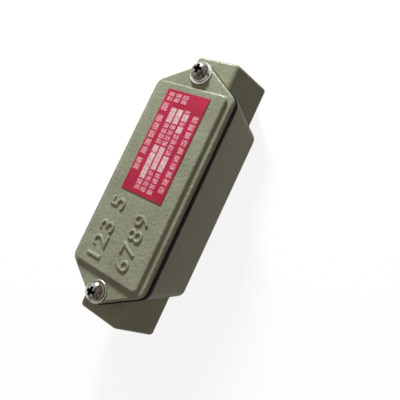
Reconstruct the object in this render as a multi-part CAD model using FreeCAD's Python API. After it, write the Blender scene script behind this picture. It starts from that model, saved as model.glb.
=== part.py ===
import FreeCAD, Part
import math
import os

from FreeCAD import Vector

# Straight-through conduit junction box: a cast body with a hexagonal hub at each end,
# closed by a cast cover on a rubber gasket. X is the width, Y runs from hub to hub,
# Z is up, and the origin is the middle of the flat base.

# Hubs
hub_across_flats = 40.0
hub_flat_width = 24.4
hub_widest = 46.0
hub_edge_radius = 3.0
hub_face_radius = 1.8
overall_length = 146.0
hub_length = 22.5

# Pipe thread bores, plain at the thread's major diameter
thread_diameter = 26.44
thread_length = 16.0
thread_lead_in = 1.2
throat_diameter = 21.5
throat_lip = 1.6

# Plan of the body's rim: straight sides, then both ends taper to a round tip at the screw
rim_width = 48.0
shoulder_set_out = 0.5
screw_set_out = 8.3
tip_radius = 6.5
plan_corner_radius = 6.5

# Body
rim_above_hub = 3.8
draft_inset = 1.4
base_edge_radius = 4.5
rim_chamfer = 0.3

# Wiring chamber
chamber_wall = 4.2
chamber_corner_radius = 7.0
chamber_draft_inset = 1.0
chamber_floor = 4.0
chamber_floor_bevel = 2.5

# Gasket
gasket_thickness = 2.2
gasket_set_back = 0.1

# Cover
flange_set_back = 0.7
flange_thickness = 3.2
flange_edge_radius = 1.3
plateau_rise = 1.9
plateau_margin = 2.9
plateau_set_back = 0.1
plateau_corner_radius = 3.0
plateau_edge_radius = 1.3
plateau_foot_bevel = 0.5
cover_wall = 2.8

# Cover screws, their washers and their tapped holes
screw_diameter = 5.0
screw_length = 14.0
screw_head_diameter = 9.4
screw_head_height = 3.4
screw_head_rim = 0.9
hole_clearance = 0.05
cover_hole_clearance = 0.25
tapped_hole_allowance = 1.0
drill_cone_angle = 31.0
flat_washer_diameter = 11.6
flat_washer_thickness = 0.9
flat_washer_edge = 0.2
spring_washer_section = 1.1
spring_washer_width = 1.7
washer_clearance = 0.15
spring_washer_gap = 0.9
spring_washer_slant = 25.0

# Cross recess for one size of driver, cut in every screw head
recess_span = 5.2
recess_width = 1.5
recess_tip_span = 2.4
recess_tip_width = 1.0
recess_depth = 2.3

# Nameplate
plate_width = 24.8
plate_length = 55.2
plate_thickness = 0.4
plate_centre_x = 0.2
plate_end_margin = 4.0

# Earth terminal on the chamber floor
earth_side_clearance = 3.6
earth_end_clearance = 14.0
earth_boss_diameter = 10.0
earth_boss_height = 7.0
earth_screw_diameter = 4.0
earth_screw_length = 8.0
earth_head_diameter = 7.6
earth_head_height = 3.0
earth_head_rim = 0.8
earth_clamp_side = 9.0
earth_clamp_thickness = 1.2
earth_clamp_lip = 1.2
earth_spring_section = 1.0
earth_spring_width = 1.4

# Cuts run past open faces by the overshoot; the tolerance finds edges by place
overshoot = 1.0
tolerance = 1e-4

# Distances from the middle: the hubs' faces, the chamber's end walls, and what follows from those
hub_face_y = overall_length / 2
chamber_half_length = hub_face_y - hub_length
shoulder_distance = chamber_half_length + shoulder_set_out
screw_distance = chamber_half_length + screw_set_out
plateau_half_length = chamber_half_length - plateau_set_back
earth_end_wall = chamber_half_length - chamber_draft_inset
earth_y = earth_end_wall - earth_end_clearance - earth_clamp_side / 2
earth_side_wall = rim_width / 2 - chamber_wall - chamber_draft_inset
earth_x = earth_clamp_side / 2 + earth_clamp_thickness + earth_side_clearance - earth_side_wall

# Levels that several pieces share
hub_axis_height = hub_across_flats / 2
rim_height = hub_across_flats + rim_above_hub
flange_bottom = rim_height + gasket_thickness
flange_top = flange_bottom + flange_thickness
plateau_top = flange_top + plateau_rise
screw_grip = flat_washer_thickness + spring_washer_section + flange_thickness + gasket_thickness
earth_boss_top = chamber_floor + earth_boss_height
earth_grip = earth_clamp_thickness + earth_spring_section
up = Vector(0, 0, 1)
along = Vector(0, 1, 0)


def rounded_wire(corners, radii):
    """A closed wire through the corners, each rounded by its own radius."""
    count = len(corners)
    starts = []
    arcs = []
    for index in range(count):
        corner = corners[index]
        to_last = (corners[index - 1] - corner).normalize()
        to_next = (corners[(index + 1) % count] - corner).normalize()
        half_angle = to_last.getAngle(to_next) / 2
        reach = radii[index] / math.tan(half_angle)
        middle = (to_last + to_next).normalize()
        centre = corner + middle * (radii[index] / math.sin(half_angle))
        start = corner + to_last * reach
        end = corner + to_next * reach
        arcs.append(Part.Arc(start, centre - middle * radii[index], end).toShape())
        starts.append((start, end))
    edges = []
    for index in range(count):
        edges.append(arcs[index])
        edges.append(Part.LineSegment(starts[index][1], starts[(index + 1) % count][0]).toShape())
    return Part.Wire(edges)


def outline(inset, height):
    """The box's plan, drawn in from the rim by the inset, at a height."""
    half_width = rim_width / 2
    reach = math.hypot(half_width, screw_distance - shoulder_distance)
    taper = math.asin(tip_radius / reach) + math.atan2(screw_distance - shoulder_distance, half_width)
    turn = math.pi / 2 - taper
    side = half_width - inset
    shoulder = shoulder_distance - inset * math.tan(turn / 2)
    apex = shoulder + side * math.tan(taper)
    corners = [
        Vector(side, -shoulder, height),
        Vector(side, shoulder, height),
        Vector(0, apex, height),
        Vector(-side, shoulder, height),
        Vector(-side, -shoulder, height),
        Vector(0, -apex, height),
    ]
    corner = plan_corner_radius - inset
    tip = tip_radius - inset
    return rounded_wire(corners, [corner, corner, tip, corner, corner, tip])


def rectangle(half_width, half_length, radius, height):
    corners = [
        Vector(half_width, -half_length, height),
        Vector(half_width, half_length, height),
        Vector(-half_width, half_length, height),
        Vector(-half_width, -half_length, height),
    ]
    return rounded_wire(corners, [radius] * 4)


def prism(wire, height):
    return Part.Face(wire).extrude(up * height)


def edges_at(shape, height):
    """Edges that lie wholly in the level plane at a height."""
    return [
        edge
        for edge in shape.Edges
        if abs(edge.BoundBox.ZMin - height) < tolerance and abs(edge.BoundBox.ZMax - height) < tolerance
    ]


def turned(profile, axis_point, axis):
    """A solid of revolution from a closed list of points in a plane through the axis."""
    return Part.Face(Part.makePolygon(profile + profile[:1])).revolve(axis_point, axis, 360)


def both_ends(shape):
    """The shape at the +Y end and its twin at the other end."""
    return [shape, shape.rotated(Vector(0, 0, 0), up, 180)]


def hub():
    """Hexagonal prism with flats above and below, every edge rounded."""
    side = hub_widest / 2
    flat = hub_flat_width / 2
    corners = [
        Vector(side, 0, hub_axis_height),
        Vector(flat, 0, hub_across_flats),
        Vector(-flat, 0, hub_across_flats),
        Vector(-side, 0, hub_axis_height),
        Vector(-flat, 0, 0),
        Vector(flat, 0, 0),
    ]
    length = hub_face_y - chamber_half_length
    solid = Part.Face(rounded_wire(corners, [hub_edge_radius] * 6)).extrude(along * length)
    face_edges = [edge for edge in solid.Edges if edge.BoundBox.YMin > length - tolerance]
    solid = solid.makeFillet(hub_face_radius, face_edges)
    solid.translate(Vector(0, chamber_half_length, 0))
    return solid


def bore():
    """The hole through a hub: lead-in, thread, shoulder for the pipe, throat and bevelled lip."""
    thread = thread_diameter / 2
    throat = throat_diameter / 2
    thread_end = hub_face_y - thread_length
    inner_end = chamber_half_length - chamber_draft_inset - overshoot
    profile = [
        Vector(0, inner_end, hub_axis_height),
        Vector(throat + throat_lip, inner_end, hub_axis_height),
        Vector(throat + throat_lip, chamber_half_length, hub_axis_height),
        Vector(throat, chamber_half_length + throat_lip, hub_axis_height),
        Vector(throat, thread_end, hub_axis_height),
        Vector(thread, thread_end, hub_axis_height),
        Vector(thread, hub_face_y - thread_lead_in, hub_axis_height),
        Vector(thread + thread_lead_in + overshoot, hub_face_y + overshoot, hub_axis_height),
        Vector(0, hub_face_y + overshoot, hub_axis_height),
    ]
    return turned(profile, Vector(0, 0, hub_axis_height), along)


def chamber():
    """The wiring chamber, with drafted walls and a bevel round its floor."""
    rim_half_width = rim_width / 2 - chamber_wall
    depth = rim_height - chamber_floor
    spread = chamber_draft_inset * overshoot / depth
    floor = rectangle(
        rim_half_width - chamber_draft_inset,
        chamber_half_length - chamber_draft_inset,
        chamber_corner_radius - chamber_draft_inset,
        chamber_floor,
    )
    mouth = rectangle(
        rim_half_width + spread,
        chamber_half_length + spread,
        chamber_corner_radius + spread,
        rim_height + overshoot,
    )
    solid = Part.makeLoft([floor, mouth], True, True)
    return solid.makeChamfer(chamber_floor_bevel, edges_at(solid, chamber_floor))


def body():
    shell = Part.makeLoft([outline(draft_inset, 0), outline(0, rim_height)], True, True)
    shell = shell.makeFillet(base_edge_radius, edges_at(shell, 0))
    shell = shell.makeChamfer(rim_chamfer, edges_at(shell, rim_height))
    casting = shell.multiFuse(both_ends(hub()))
    casting = casting.cut(chamber())
    boss = Part.makeCylinder(
        earth_boss_diameter / 2,
        chamber_floor / 2 + earth_boss_height,
        Vector(earth_x, earth_y, chamber_floor / 2),
    )
    casting = casting.fuse(boss)
    holes = both_ends(bore())
    holes += both_ends(blind_hole(screw_diameter, rim_height, screw_length - screw_grip, 0, screw_distance))
    holes.append(
        blind_hole(earth_screw_diameter, earth_boss_top, earth_screw_length - earth_grip, earth_x, earth_y)
    )
    return casting.cut(holes).removeSplitter()


def blind_hole(diameter, top, engagement, x, y):
    """A tapped hole, plain at the screw's diameter, with the drill's cone at its bottom."""
    radius = diameter / 2 + hole_clearance
    bottom = top - engagement - tapped_hole_allowance
    cone = radius * math.tan(math.radians(drill_cone_angle))
    profile = [
        Vector(x, y, bottom - cone),
        Vector(x + radius, y, bottom),
        Vector(x + radius, y, top + overshoot),
        Vector(x, y, top + overshoot),
    ]
    return turned(profile, Vector(x, y, 0), up)


def screw_holes(height, depth):
    """Clearance holes for the cover screws through a flat piece."""
    radius = screw_diameter / 2 + cover_hole_clearance
    return both_ends(Part.makeCylinder(radius, depth, Vector(0, screw_distance, height)))


def gasket():
    """Flat rubber ring between the rim and the cover, as wide as the rim inside."""
    sheet = prism(outline(gasket_set_back, rim_height), gasket_thickness)
    mouth = rectangle(
        rim_width / 2 - chamber_wall, chamber_half_length, chamber_corner_radius, rim_height
    )
    return sheet.cut([prism(mouth, gasket_thickness)] + screw_holes(rim_height, gasket_thickness))


def cover():
    """Cast cover: a flange on the box's outline and a raised plateau, hollow underneath."""
    flange = prism(outline(flange_set_back, flange_bottom), flange_thickness)
    flange = flange.makeFillet(flange_edge_radius, edges_at(flange, flange_top))
    half_width = rim_width / 2 - flange_set_back - plateau_margin
    foot = rectangle(half_width, plateau_half_length, plateau_corner_radius, flange_top)
    casting = flange.fuse(prism(foot, plateau_rise)).removeSplitter()
    foot_edges = [
        edge
        for edge in edges_at(casting, flange_top)
        if edge.distToShape(foot)[0] < tolerance
    ]
    casting = casting.makeChamfer(plateau_foot_bevel, foot_edges)
    casting = casting.makeFillet(plateau_edge_radius, edges_at(casting, plateau_top))
    hollow = rectangle(
        half_width - cover_wall,
        plateau_half_length - cover_wall,
        plateau_corner_radius,
        flange_bottom,
    )
    hollow = prism(hollow, plateau_top - cover_wall - flange_bottom)
    return casting.cut([hollow] + screw_holes(flange_bottom, flange_thickness))


def pan_screw(diameter, length, head_diameter, head_height, head_rim, x, y, seat):
    """Domed pan-head screw standing on its seat, with a cross recess."""
    shank = diameter / 2
    head = head_diameter / 2
    point_chamfer = diameter / 10
    dome = head_height - head_rim
    dome_radius = (head**2 + dome**2) / (2 * dome)
    half_sweep = math.asin(head / dome_radius) / 2
    top = Vector(x, y, seat + head_height)
    rim = Vector(x + head, y, seat + head_rim)
    centre_height = seat + head_height - dome_radius
    on_dome = Vector(
        x + dome_radius * math.sin(half_sweep), y, centre_height + dome_radius * math.cos(half_sweep)
    )
    path = [
        top,
        Vector(x, y, seat - length),
        Vector(x + shank - point_chamfer, y, seat - length),
        Vector(x + shank, y, seat - length + point_chamfer),
        Vector(x + shank, y, seat),
        Vector(x + head, y, seat),
        rim,
    ]
    edges = [Part.LineSegment(path[i], path[i + 1]).toShape() for i in range(len(path) - 1)]
    edges.append(Part.Arc(rim, on_dome, top).toShape())
    solid = Part.Face(Part.Wire(edges)).revolve(Vector(x, y, 0), up, 360)
    return solid.cut(cross_recess(x, y, seat + head_height))


def cross_recess(x, y, top):
    """Two crossed blades that narrow towards the driver's tip."""
    blades = []
    for angle in (0, 90):
        mouth = Part.makePlane(recess_span, recess_width, Vector(-recess_span / 2, -recess_width / 2, 0))
        tip_corner = Vector(-recess_tip_span / 2, -recess_tip_width / 2, -recess_depth)
        tip = Part.makePlane(recess_tip_span, recess_tip_width, tip_corner)
        blade = Part.makeLoft([mouth.OuterWire, tip.OuterWire], True, True)
        blade.rotate(Vector(0, 0, 0), up, angle)
        blade.translate(Vector(x, y, top))
        blades.append(blade)
    return blades


def spring_washer(hole_diameter, section, width, x, y, seat):
    """Split ring of rectangular section, pressed flat, with a slanted gap."""
    inner = hole_diameter / 2 + washer_clearance
    ring = Part.makeCylinder(inner + width, section).cut(Part.makeCylinder(inner, section))
    slot = Part.makeBox(2 * width, spring_washer_gap, 3 * section)
    slot.translate(Vector(inner - width / 2, -spring_washer_gap / 2, -section))
    slot.rotate(Vector(0, 0, section / 2), Vector(1, 0, 0), spring_washer_slant)
    ring = ring.cut(slot)
    ring.translate(Vector(x, y, seat))
    return ring


def flat_washer():
    hole = screw_diameter / 2 + washer_clearance
    disc = Part.makeCylinder(flat_washer_diameter / 2, flat_washer_thickness)
    disc = disc.makeChamfer(flat_washer_edge, edges_at(disc, flat_washer_thickness))
    disc = disc.cut(Part.makeCylinder(hole, flat_washer_thickness))
    disc.translate(Vector(0, screw_distance, flange_top))
    return disc


def nameplate():
    nearest_y = plateau_half_length - plate_end_margin - plate_length
    corner = Vector(plate_centre_x - plate_width / 2, nearest_y, plateau_top)
    return Part.makeBox(plate_width, plate_length, plate_thickness, corner)


def earth_clamp():
    """Square clamp plate with two lips turned up that keep the wire under the screw."""
    side = earth_clamp_side
    plate = Part.makeBox(side, side, earth_clamp_thickness, Vector(-side / 2, -side / 2, 0))
    lip_height = earth_clamp_thickness + earth_clamp_lip
    lip = Part.makeBox(earth_clamp_thickness, side, lip_height, Vector(side / 2, -side / 2, 0))
    plate = plate.fuse(both_ends(lip)).removeSplitter()
    outer_edges = [
        edge for edge in edges_at(plate, 0) if abs(edge.CenterOfMass.x) > side / 2 + earth_clamp_thickness / 2
    ]
    plate = plate.makeFillet(earth_clamp_thickness / 2, outer_edges)
    plate = plate.cut(Part.makeCylinder(earth_screw_diameter / 2 + washer_clearance, lip_height))
    plate.translate(Vector(earth_x, earth_y, earth_boss_top))
    return plate


def write(name, solids):
    shape = solids[0] if len(solids) == 1 else Part.makeCompound(solids)
    shape.exportStep("parts/" + name + ".step")
    print(name, "valid" if shape.isValid() else "NOT VALID", len(shape.Solids), round(shape.Volume, 1))


os.makedirs("parts", exist_ok=True)

screw_seat = flange_top + flat_washer_thickness + spring_washer_section
screw = pan_screw(
    screw_diameter,
    screw_length,
    screw_head_diameter,
    screw_head_height,
    screw_head_rim,
    0,
    screw_distance,
    screw_seat,
)
cover_spring = spring_washer(
    screw_diameter,
    spring_washer_section,
    spring_washer_width,
    0,
    screw_distance,
    flange_top + flat_washer_thickness,
)
earth_screw = pan_screw(
    earth_screw_diameter,
    earth_screw_length,
    earth_head_diameter,
    earth_head_height,
    earth_head_rim,
    earth_x,
    earth_y,
    earth_boss_top + earth_grip,
)
earth_spring = spring_washer(
    earth_screw_diameter,
    earth_spring_section,
    earth_spring_width,
    earth_x,
    earth_y,
    earth_boss_top + earth_clamp_thickness,
)

write("body", [body()])
write("gasket", [gasket()])
write("cover", [cover()])
write("cover_screws", both_ends(screw))
write("cover_spring_washers", both_ends(cover_spring))
write("cover_flat_washers", both_ends(flat_washer()))
write("nameplate", [nameplate()])
write("earth_screw", [earth_screw])
write("earth_spring_washer", [earth_spring])
write("earth_clamp", [earth_clamp()])
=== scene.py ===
import math

import bmesh
import bpy
from mathutils import Matrix, Vector


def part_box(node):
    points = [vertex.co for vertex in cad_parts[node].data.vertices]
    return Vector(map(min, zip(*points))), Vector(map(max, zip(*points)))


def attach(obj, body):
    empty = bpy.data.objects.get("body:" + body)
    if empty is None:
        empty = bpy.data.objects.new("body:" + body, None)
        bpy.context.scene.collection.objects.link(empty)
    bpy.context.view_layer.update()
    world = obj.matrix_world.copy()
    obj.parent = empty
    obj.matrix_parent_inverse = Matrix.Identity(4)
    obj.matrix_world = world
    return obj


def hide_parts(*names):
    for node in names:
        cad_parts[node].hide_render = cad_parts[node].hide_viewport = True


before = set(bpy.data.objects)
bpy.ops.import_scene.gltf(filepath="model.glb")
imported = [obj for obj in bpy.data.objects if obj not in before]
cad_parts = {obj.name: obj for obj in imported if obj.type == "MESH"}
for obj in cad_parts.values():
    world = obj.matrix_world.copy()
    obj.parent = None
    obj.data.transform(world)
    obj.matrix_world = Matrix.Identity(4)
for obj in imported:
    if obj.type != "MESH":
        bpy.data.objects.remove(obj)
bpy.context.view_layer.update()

print("frame loaded:", ", ".join(sorted(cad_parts)))


class Sock:
    # one shader value; writing sums with it adds Math nodes
    def __init__(self, tree, socket):
        self.tree = tree
        self.socket = socket

    def math(self, operation, *others):
        node = self.tree.nodes.new("ShaderNodeMath")
        node.operation = operation
        for slot, value in zip(node.inputs, (self,) + others):
            plug(self.tree, value, slot)
        return Sock(self.tree, node.outputs[0])

    def __add__(self, other): return self.math("ADD", other)
    def __radd__(self, other): return self.math("ADD", other)
    def __mul__(self, other): return self.math("MULTIPLY", other)
    def __rmul__(self, other): return self.math("MULTIPLY", other)
    def __truediv__(self, other): return self.math("DIVIDE", other)
    def __sub__(self, other): return self.math("SUBTRACT", other)

    def __rsub__(self, other):
        return self.math("MULTIPLY", -1).math("ADD", other)

    def between(self, low, high):
        # 0 below low, 1 above high, smooth on the way
        t = ((self - low) / (high - low)).clamped()
        return t * t * (3 - t * 2)

    def clamped(self):
        return self.math("MAXIMUM", 0).math("MINIMUM", 1)

    def above(self, edge): return self.math("GREATER_THAN", edge)


def plug(tree, value, slot):
    if isinstance(value, Sock):
        tree.links.new(value.socket, slot)
    elif isinstance(value, tuple) and len(value) == 3 and len(slot.default_value) == 4:
        slot.default_value = (*value, 1)  # a colour without its alpha
    else:
        slot.default_value = value


class Nodes:
    # makes the nodes of one tree
    def __init__(self, tree):
        self.tree = tree

    def node(self, kind, settings=None, inputs=None):
        node = self.tree.nodes.new(kind)
        for key, value in (settings or {}).items():
            setattr(node, key, value)
        for key, value in (inputs or {}).items():
            plug(self.tree, value, node.inputs[key])
        return node

    def sock(self, output): return Sock(self.tree, output)

    def seen(self):
        # 1 for what the camera, a reflection or glass looks at
        path = self.node("ShaderNodeLightPath").outputs
        rays = [self.sock(path[name]) for name in ("Is Camera Ray", "Is Glossy Ray", "Is Transmission Ray")]
        return (rays[0] + rays[1] + rays[2]).clamped()


class Paint(Nodes):
    # one material on the object's own coordinates
    def __init__(self, name):
        self.material = bpy.data.materials.new(name)
        self.material.use_nodes = True
        super().__init__(self.material.node_tree)
        self.shader = self.tree.nodes["Principled BSDF"]
        self.place = self.node("ShaderNodeTexCoord").outputs["Object"]

    def noise(self, scale, detail=3, roughness=0.5, stretch=None):
        # scale counts features per metre
        where = self.sock(self.place)
        if stretch:
            stretched = self.node("ShaderNodeMapping", {}, {"Vector": where, "Scale": stretch})
            where = self.sock(stretched.outputs[0])
        made = self.node("ShaderNodeTexNoise", {}, {
            "Vector": where, "Scale": scale, "Detail": detail, "Roughness": roughness,
        })
        return self.sock(made.outputs[0])

    def split(self, vector):
        made = self.node("ShaderNodeSeparateXYZ", {}, {0: vector})
        return [self.sock(output) for output in made.outputs]

    def mix(self, factor, first, second):
        made = self.node("ShaderNodeMix", {"data_type": "RGBA"})
        plug(self.tree, factor, made.inputs[0])
        plug(self.tree, first, made.inputs[6])
        plug(self.tree, second, made.inputs[7])
        return self.sock(made.outputs[2])

    def bump(self, height, distance, strength=1, below=None):
        made = self.node("ShaderNodeBump", {}, {"Height": height, "Distance": distance, "Strength": strength})
        if below:
            plug(self.tree, below, made.inputs["Normal"])
        return self.sock(made.outputs[0])

    def set(self, **values):
        # Base_Color=... sets the socket "Base Color"
        for key, value in values.items():
            plug(self.tree, value, self.shader.inputs[key.replace("_", " ")])


def srgb(red, green, blue):
    # a colour picked on screen, 0 to 255, as the shader's linear values
    return tuple(((c / 255 + 0.055) / 1.055) ** 2.4 if c > 10 else c / 3294 for c in (red, green, blue))


camera = {
    "place": (0.09470, -0.00874, 0.18626),
    "lookAt": (0.00391, 0.00273, 0),
    "roll": -58.438,
    "lens": 30.427,
    "shift": (0.00737, 0.00343),
}


def addCamera(c):
    lens = bpy.data.cameras.new("camera")
    lens.sensor_fit = "HORIZONTAL"
    lens.sensor_width = 36
    lens.lens = c["lens"]
    lens.shift_x, lens.shift_y = c["shift"]
    lens.clip_start = 0.01
    holder = bpy.data.objects.new("camera", lens)
    bpy.context.scene.collection.objects.link(holder)
    view = Vector(c["lookAt"]) - Vector(c["place"])
    aim = view.to_track_quat("-Z", "Y").to_matrix().to_4x4()
    roll = Matrix.Rotation(math.radians(c["roll"]), 4, "Z")
    holder.matrix_world = Matrix.Translation(c["place"]) @ (aim @ roll)
    bpy.context.scene.camera = holder


addCamera(camera)
print("camera placed")


enamel = {
    "color": srgb(152, 156, 134),
    "shade": srgb(138, 141, 120),
    "uprightShade": srgb(130, 120, 94),  # painted warm shade on the upright faces
    "uprightShadeStrength": 0.4,
    "jointShadow": srgb(22, 22, 20),  # painted shadow along the joint under the gasket
    "jointShadowSlope": 0.0125,  # it starts lower towards -Y
    "jointShadowDepth": 0.0004,
    "rimHeight": 0.0438,
    "roughness": 0.2,
    "matter": 0.26,  # how much rougher the upright faces are
    "gloss": 0.16,
    "peelScale": 640,
    "peelDepth": 0.00026,
    "peelLoss": 0.35,  # the peel is this much flatter on the upright faces
}


def castEnamel(e):
    # stoved enamel on a casting: orange peel over soft waves
    paint = Paint("castEnamel")
    cloud = paint.noise(60, 4, 0.6)
    speck = paint.noise(500, 3, 0.6)
    coat = paint.mix((cloud * 0.7 + speck * 0.3).between(0.35, 0.65), e["color"], e["shade"])
    facing = paint.split(paint.sock(paint.node("ShaderNodeNewGeometry").outputs["Normal"]))[2]
    upright = 1 - facing.math("ABSOLUTE").between(0.15, 0.42)
    # upright faces are painted warmer and darker, as shade
    coat = paint.mix(upright * e["uprightShadeStrength"], coat, e["uprightShade"])
    x, y, z = paint.split(paint.sock(paint.place))
    # a painted shadow band on the body just under the rim, along the joint
    jointShadowFoot = y * e["jointShadowSlope"] + (e["rimHeight"] - e["jointShadowDepth"])
    jointShadow = (z - jointShadowFoot).between(-0.0002, 0.0002) * (1 - z.above(e["rimHeight"] + 0.0005))
    paint.set(Base_Color=paint.mix(jointShadow, coat, e["jointShadow"]))
    peel = paint.noise(e["peelScale"], 2, 0.45) * (1 - upright * e["peelLoss"])
    waves = paint.noise(160, 2, 0.5)
    paint.set(Roughness=e["roughness"] + speck * 0.08 + upright * e["matter"], Specular_IOR_Level=e["gloss"])
    paint.set(Normal=paint.bump(peel, e["peelDepth"], 1, paint.bump(waves, 0.0001, 0.6)))
    return paint.material


rubber = {"color": (0.003, 0.003, 0.003), "worn": (0.007, 0.007, 0.006), "gloss": 0.08}


def gasketRubber(r):
    paint = Paint("gasketRubber")
    grain = paint.noise(900, 4, 0.6)
    paint.set(Base_Color=paint.mix(grain.between(0.4, 0.7), r["color"], r["worn"]))
    paint.set(Roughness=0.7 + grain * 0.2, Specular_IOR_Level=r["gloss"], Normal=paint.bump(grain, 0.00004))
    return paint.material


steel = {
    "color": (0.5, 0.49, 0.45),
    "dull": (0.2, 0.18, 0.15),
    "washer": (0.74, 0.73, 0.69),
    "shadedWasher": (0.33, 0.3, 0.25),  # the southern pair is painted darker, as shade
    "brown": (0.12, 0.1, 0.078),
    "deepBrown": (0.026, 0.02, 0.015),
    "recess": (0.01, 0.009, 0.008),
    "domeCentre": (0, 0.0588, 0.04893),  # of the northern head; the southern one is its twin
    "domeRadius": 0.005668,
    "domeFoot": 0.0515,
    "crossShade": (0.0007, 0.002),  # half width and half length of the painted shade round the cross
    "washerTop": 0.0501,
}


def brightSteel(s):
    # nickel-plated steel; the domes carry brown tarnish with painted dark reflections, heavier on the side
    # away from the lamp, and painted shade round and in the cross recesses
    paint = Paint("brightSteel")
    patch = paint.noise(420, 3, 0.6)
    cloud = paint.noise(230, 3, 0.6, (1.6, 0.7, 1))
    scratch = paint.noise(2500, 4, 0.7)
    metal = paint.mix(patch.between(0.45, 0.62), s["color"], s["dull"])
    x, y, z = paint.split(paint.sock(paint.place))
    fromEnd, rise = y.math("ABSOLUTE") - s["domeCentre"][1], z - s["domeCentre"][2]
    # southern washers are painted darker as shade, northern ones stay bright
    washer = paint.mix(y.above(0), s["shadedWasher"], s["washer"])
    metal = paint.mix(z.above(s["washerTop"]), paint.mix(patch.between(0.5, 0.75), washer, s["color"]), metal)
    onDome = z.between(s["domeFoot"], s["domeFoot"] + 0.0006)
    # painted dark reflection over the tarnish, leaning to the dome's side away from the lamp
    awayFromLampLean = (x * 130 - fromEnd * 60) * 0.5
    streak = paint.noise(700, 3, 0.6, (1.5, 0.6, 1))
    tarnishAndDarkReflection = paint.mix(streak.between(0.4, 0.6), s["brown"], s["deepBrown"])
    metal = paint.mix((cloud * 1.1 + awayFromLampLean).between(0.32, 0.78) * onDome, metal, tarnishAndDarkReflection)
    # painted shade round the cross, and in the recess itself, which lies under the dome's own sphere
    wide, long = s["crossShade"]
    east, north = x.math("ABSOLUTE"), fromEnd.math("ABSOLUTE")
    arms = [1 - a.between(wide, wide + 0.0005) for a in (east, north)]
    reach = [1 - a.between(long, long + 0.0006) for a in (north, east)]
    crossShade = (arms[0] * reach[0] + arms[1] * reach[1]).clamped() * onDome
    metal = paint.mix(crossShade * 0.75, metal, s["deepBrown"])
    away = (x * x + fromEnd * fromEnd + rise * rise).math("SQRT")
    # the recess is painted near black, as shade
    inside = (s["domeRadius"] - away).between(0.0001, 0.0005) * z.above(s["domeCentre"][2] + 0.0029)
    paint.set(Base_Color=paint.mix(inside, metal, s["recess"]), Metallic=1.0)
    paint.set(Roughness=0.16 + patch * 0.14 + scratch * 0.08 + inside * 0.4)
    paint.set(Normal=paint.bump(scratch, 0.00001))
    return paint.material


brass = {"color": (0.68, 0.47, 0.2), "dull": (0.45, 0.3, 0.13)}


def earthBrass(b):
    paint = Paint("earthBrass")
    patch = paint.noise(350, 3, 0.6)
    scratch = paint.noise(2500, 4, 0.7)
    paint.set(Base_Color=paint.mix(patch.between(0.4, 0.65), b["color"], b["dull"]), Metallic=1.0)
    paint.set(Roughness=0.25 + scratch * 0.2, Normal=paint.bump(scratch, 0.00001))
    return paint.material


plateInk = {"color": srgb(184, 44, 74), "deep": srgb(166, 38, 65), "gloss": 0.15}


def plateRed(p):
    paint = Paint("plateRed")
    cloud = paint.noise(120, 4, 0.6)
    grain = paint.noise(1600, 3, 0.6)
    paint.set(Base_Color=paint.mix(cloud.between(0.35, 0.7), p["color"], p["deep"]))
    paint.set(Roughness=0.35 + grain * 0.15, Specular_IOR_Level=p["gloss"], Normal=paint.bump(grain, 0.00001))
    return paint.material


printInk = {
    "box": srgb(226, 204, 203),
    "boxThin": srgb(206, 136, 150),
    "line": srgb(224, 164, 174),
    "lineThin": srgb(190, 74, 98),
}


def paleInk(name, full, thin):
    # pale print, thin in places so that the red shows through
    paint = Paint(name)
    patch = paint.noise(1500, 3, 0.7)
    paint.set(Base_Color=paint.mix(patch.between(0.44, 0.56), full, thin), Roughness=0.4 + patch * 0.1)
    return paint.material


aluminium = {"color": (0.46, 0.46, 0.45), "dull": (0.3, 0.29, 0.28)}


def cutAluminium(a):
    # bare metal where the tap has cut through the enamel
    paint = Paint("cutAluminium")
    turning = paint.noise(900, 3, 0.6, (1, 6, 1))
    paint.set(Base_Color=paint.mix(turning.between(0.35, 0.65), a["color"], a["dull"]), Metallic=1.0)
    paint.set(Roughness=0.3 + turning * 0.2, Normal=paint.bump(turning, 0.00001))
    return paint.material


finishes = {
    "castEnamel": castEnamel(enamel),
    "gasketRubber": gasketRubber(rubber),
    "brightSteel": brightSteel(steel),
    "earthBrass": earthBrass(brass),
    "plateRed": plateRed(plateInk),
    "printBox": paleInk("printBox", printInk["box"], printInk["boxThin"]),
    "printLine": paleInk("printLine", printInk["line"], printInk["lineThin"]),
    "cutAluminium": cutAluminium(aluminium),
}
print("finishes made:", len(finishes))


def newPiece(name, shape, finish, replaced=(), smooth=True):
    # shape is a bmesh in the object's own frame, in metres
    mesh = bpy.data.meshes.new(name)
    shape.to_mesh(mesh)
    shape.free()
    for face in mesh.polygons:
        face.use_smooth = smooth
    piece = bpy.data.objects.new(name, mesh)
    bpy.context.scene.collection.objects.link(piece)
    mesh.materials.append(finishes[finish])
    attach(piece, "root")
    if replaced:
        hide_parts(*replaced)
    return piece


mergeDistance = 1e-6


def creaseEdges(shape, creaseAngle):
    # sharp only at real corners
    for edge in shape.edges:
        edge.smooth = len(edge.link_faces) == 2 and edge.calc_face_angle(0) < math.radians(creaseAngle)


def weldedCopy(node, creaseAngle):
    # the node's own triangles, joined at their edges
    shape = bmesh.new()
    shape.from_mesh(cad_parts[node].data)
    bmesh.ops.remove_doubles(shape, verts=shape.verts, dist=mergeDistance)
    creaseEdges(shape, creaseAngle)
    return shape


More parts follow.
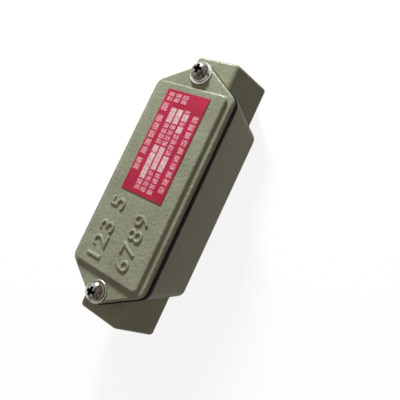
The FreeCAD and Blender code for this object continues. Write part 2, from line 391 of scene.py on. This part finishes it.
dressed = {
    "body": ("castEnamel", "cast_enamel", 32),
    "cover": ("castEnamel", "cast_enamel", 32),
    "gasket": ("gasketRubber", "gasket_rubber", 32),
    "nameplate": ("plateRed", "plate_red", 32),
    "cover_screws": ("brightSteel", "bright_steel", 35),
    "cover_spring_washers": ("brightSteel", "bright_steel", 32),
    "cover_flat_washers": ("brightSteel", "bright_steel", 32),
    "earth_screw": ("earthBrass", "earth_brass", 35),
    "earth_spring_washer": ("earthBrass", "earth_brass", 32),
    "earth_clamp": ("earthBrass", "earth_brass", 32),
}
for node, (finish, slot, creaseAngle) in dressed.items():
    piece = newPiece(node + "_finished", weldedCopy(node, creaseAngle), finish, (node,))
    evened = piece.modifiers.new("evened", "WEIGHTED_NORMAL")
    evened.keep_sharp = True
print("castings and fasteners dressed")


def boxAt(shape, low, high):
    size = Vector(high) - Vector(low)
    place = Matrix.Translation((Vector(low) + Vector(high)) / 2) @ Matrix.Diagonal((*size, 1))
    bmesh.ops.create_cube(shape, size=1, matrix=place)


# the plate's print in millimetres, x from its left edge and y from its far end
plate = {
    "inkHeight": 0.00003,
    "boxes": {
        6.9: (3.1, [(9.0, 16.9), (29.4, 33.1), (33.5, 47.1)]),
        10.8: (3.0, [(9.0, 16.7), (29.4, 41.3)]),
        14.9: (3.1, [(10.4, 14.2), (17.1, 20.6), (33.1, 41.3)]),
    },
    # x: (width, [(first y, step, height, count)])
    "blocks": {
        1.0: (3.4, [(7.4, 1, 4.4, 1), (14.4, 4.4, 3.6, 5), (37.9, 3.4, 2.9, 2)]),
        1.7: (3.2, [(1.5, 2.5, 2.0, 2)]),
        6.0: (3.2, [(1.5, 2.5, 2.0, 2)]),
        10.2: (3.3, [(1.5, 2.5, 2.0, 2)]),
        6.9: (3.0, [(17.5, 2.85, 2.3, 4), (47.9, 2.75, 2.4, 2)]),
        10.8: (2.9, [(17.4, 2.95, 2.3, 4), (42.1, 2.9, 2.3, 4)]),
        14.9: (3.0, [(8.6, 1, 1.3, 1), (14.8, 1, 1.8, 1), (21.3, 2.9, 2.3, 4), (42.1, 2.9, 2.3, 4)]),
        20.5: (3.0, [(10.2, 4.1, 3.2, 10)]),
    },
    "frame": ((6.0, 8.0), (19.6, 54.1), 0.3),
}


def plateFields(p):
    low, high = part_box("nameplate")

    def field(shape, x, y, width, height):
        left = low.x + x / 1000
        far = high.y - y / 1000
        near = far - height / 1000
        right = left + width / 1000
        boxAt(shape, (left, near, high.z - p["inkHeight"]), (right, far, high.z + p["inkHeight"]))

    boxes = bmesh.new()
    for x, (width, spans) in p["boxes"].items():
        for start, end in spans:
            field(boxes, x, start, width, end - start)
    newPiece("plate_boxes", boxes, "printBox", smooth=False)
    lines = bmesh.new()
    for x, (width, runs) in p["blocks"].items():
        for first, step, height, count in runs:
            for number in range(count):
                field(lines, x, first + number * step, width, height)
    # the frame is one flat ring
    (left, top), (right, bottom), thick = p["frame"]
    corners = [(left, top), (right, top), (right, bottom), (left, bottom)]
    sheet = lines.faces.new([
        lines.verts.new((low.x + x / 1000, high.y - y / 1000, high.z - p["inkHeight"])) for x, y in corners])
    ring = bmesh.ops.inset_region(lines, faces=[sheet], thickness=thick / 1000, use_even_offset=True)["faces"]
    bmesh.ops.delete(lines, geom=[sheet], context="FACES_ONLY")
    raised = bmesh.ops.extrude_face_region(lines, geom=ring)["geom"]
    raised = [v for v in raised if isinstance(v, bmesh.types.BMVert)]
    bmesh.ops.translate(lines, verts=raised, vec=(0, 0, 2 * p["inkHeight"]))
    bmesh.ops.recalc_face_normals(lines, faces=lines.faces)
    newPiece("plate_lines", lines, "printLine", smooth=False)


plateFields(plate)
print("nameplate printed")


# plain raised figures cast on the cover, in two rows that read along the box
figures = {
    "rows": [
        {"text": "123 5", "near": -0.0452, "far": -0.0134, "foot": -0.0053, "head": -0.0140},
        {"text": "6789", "near": -0.0447, "far": -0.0166, "foot": 0.0116, "head": 0.0029},
    ],
    "rise": 0.0008,
    "round": 0.0007,
    "thin": 0.00048,  # taken off each stroke, which the rounding puts back
    "size": 0.012,
    "spread": 1.12,
    "sink": 0.0008,  # how deep they reach into the cover
    "creaseAngle": 40,
}


def castFigures(f):
    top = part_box("cover")[1].z
    for number, row in enumerate(f["rows"], 1):
        curve = bpy.data.curves.new("figures", "FONT")
        curve.body = row["text"]
        curve.size = f["size"]
        curve.offset = -f["thin"]
        curve.space_character = f["spread"]
        curve.extrude = (f["rise"] + f["sink"]) / 2 - f["round"]
        curve.bevel_depth = f["round"]
        curve.bevel_resolution = 3
        curve.resolution_u = 6
        holder = bpy.data.objects.new("figures", curve)
        bpy.context.scene.collection.objects.link(holder)
        bpy.context.view_layer.update()
        mesh = bpy.data.meshes.new_from_object(holder)
        bpy.data.objects.remove(holder)
        shape = bmesh.new()
        shape.from_mesh(mesh)
        bmesh.ops.remove_doubles(shape, verts=shape.verts, dist=mergeDistance)
        bmesh.ops.recalc_face_normals(shape, faces=shape.faces)
        xs = [v.co.x for v in shape.verts]
        ys = [v.co.y for v in shape.verts]
        zs = [v.co.z for v in shape.verts]
        # turned a quarter so that the text runs along +Y with its head towards -X
        along = (row["far"] - row["near"]) / (max(xs) - min(xs))
        across = (row["foot"] - row["head"]) / (max(ys) - min(ys))
        place = (Matrix.Translation((row["foot"], row["near"], top - f["sink"]))
                 @ Matrix.Rotation(math.pi / 2, 4, "Z")
                 @ Matrix.Diagonal((along, across, 1, 1))
                 @ Matrix.Translation((-min(xs), -min(ys), -min(zs))))
        bmesh.ops.transform(shape, matrix=place, verts=shape.verts)
        creaseEdges(shape, f["creaseAngle"])
        newPiece(f"cast_figures_{number}", shape, "castEnamel")


castFigures(figures)
print("figures cast")


# pipe thread inside each hub, cut into bare metal
thread = {
    "axisHeight": 0.02,
    "crest": 0.01212,
    "root": 0.01326,  # just inside the bore's wall
    "pitch": 0.001814,
    "profile": [("root", 0.02), ("crest", 0.42), ("crest", 0.58), ("root", 0.98)],  # in shares of the pitch
    "start": 0.05705,
    "turns": 7.1,
    "steps": 48,
    "runOut": 0.0016,
    "endShare": 0.02,  # of the ridge's height, left at its very ends
    "creaseAngle": 25,
}


def hubThreads(t):
    shape = bmesh.new()
    axis = Vector((0, t["start"], t["axisHeight"]))
    pitch = t["pitch"]
    # one ridge, closed at the back, wound round the axis
    points = [shape.verts.new(axis + Vector((t[end], at * pitch, 0))) for end, at in t["profile"]]
    ridge = shape.faces.new(points)
    bmesh.ops.spin(
        shape, geom=points + ridge.edges[:] + [ridge], cent=axis, axis=(0, 1, 0),
        dvec=(0, pitch / t["steps"], 0), angle=2 * math.pi * t["turns"],
        steps=round(t["steps"] * t["turns"]), use_duplicate=False,
    )
    bmesh.ops.remove_doubles(shape, verts=shape.verts, dist=mergeDistance)
    # the ridge runs out flat towards both ends
    first = min(v.co.y for v in shape.verts)
    last = max(v.co.y for v in shape.verts)
    for v in shape.verts:
        height = min(1, (v.co.y - first) / t["runOut"], (last - v.co.y) / t["runOut"])
        radius = math.hypot(v.co.x, v.co.z - t["axisHeight"])
        wanted = t["root"] + (radius - t["root"]) * (t["endShare"] + (1 - t["endShare"]) * height)
        v.co.x *= wanted / radius
        v.co.z = t["axisHeight"] + (v.co.z - t["axisHeight"]) * wanted / radius
    copied = bmesh.ops.duplicate(shape, geom=shape.verts[:] + shape.edges[:] + shape.faces[:])
    copied = [v for v in copied["geom"] if isinstance(v, bmesh.types.BMVert)]
    bmesh.ops.transform(shape, matrix=Matrix.Rotation(math.pi, 4, "Z"), verts=copied)
    bmesh.ops.recalc_face_normals(shape, faces=shape.faces)
    creaseEdges(shape, t["creaseAngle"])
    newPiece("hub_threads", shape, "cutAluminium")


hubThreads(thread)
print("hub threads cut")


studio = {
    "floorReach": 3,
    "floorGrey": 0.08,  # what lights the object from below
    "floorWhite": 0.12,  # what the camera and reflections see, with the glow added
    "floorGlow": 0.875,
    "sky": 0.26,
    "skyTint": (1, 0.84, 0.72),
    "lamps": {
        "key": {"place": (-0.23, 0.6, 0.335), "size": 0.14, "watts": 8.0, "tint": (0.96, 1, 1)},
    },
}


def addFloor(s):
    shape = bmesh.new()
    bmesh.ops.create_grid(shape, x_segments=8, y_segments=8, size=s["floorReach"])
    mesh = bpy.data.meshes.new("floor")
    shape.to_mesh(mesh)
    shape.free()
    floor = bpy.data.objects.new("floor", mesh)
    bpy.context.scene.collection.objects.link(floor)
    paint = Paint("floorPaper")
    seen = paint.seen()
    grey, white, glow = s["floorGrey"], s["floorWhite"], s["floorGlow"]
    paint.set(Base_Color=paint.mix(seen, (grey, grey, grey), (white, white, white)), Roughness=0.9)
    paint.set(Emission_Color=paint.mix(seen, (0, 0, 0), (glow, glow, glow)), Emission_Strength=1)
    mesh.materials.append(paint.material)


def addSky(s):
    world = bpy.data.worlds.new("sky")
    world.use_nodes = True
    bpy.context.scene.world = world
    nodes = Nodes(world.node_tree)
    soft = nodes.node("ShaderNodeBackground", {}, {"Color": s["skyTint"], "Strength": s["sky"]})
    white = nodes.node("ShaderNodeBackground", {}, {"Color": (1, 1, 1), "Strength": 1})
    both = nodes.node("ShaderNodeMixShader", {}, {
        0: nodes.seen(), 1: nodes.sock(soft.outputs[0]), 2: nodes.sock(white.outputs[0]),
    })
    nodes.tree.links.new(both.outputs[0], nodes.tree.nodes["World Output"].inputs["Surface"])


def addLamp(name, l):
    light = bpy.data.lights.new(name, "AREA")
    light.size = l["size"]
    light.energy = l["watts"]
    light.color = l["tint"]
    lamp = bpy.data.objects.new(name, light)
    bpy.context.scene.collection.objects.link(lamp)
    aim = (-Vector(l["place"])).to_track_quat("-Z", "Y").to_matrix().to_4x4()
    lamp.matrix_world = Matrix.Translation(l["place"]) @ aim


addFloor(studio)
addSky(studio)
for name, lamp in studio["lamps"].items():
    addLamp(name, lamp)
bpy.context.scene.view_settings.view_transform = "Standard"
print("floor and lights set")

bpy.context.view_layer.update()
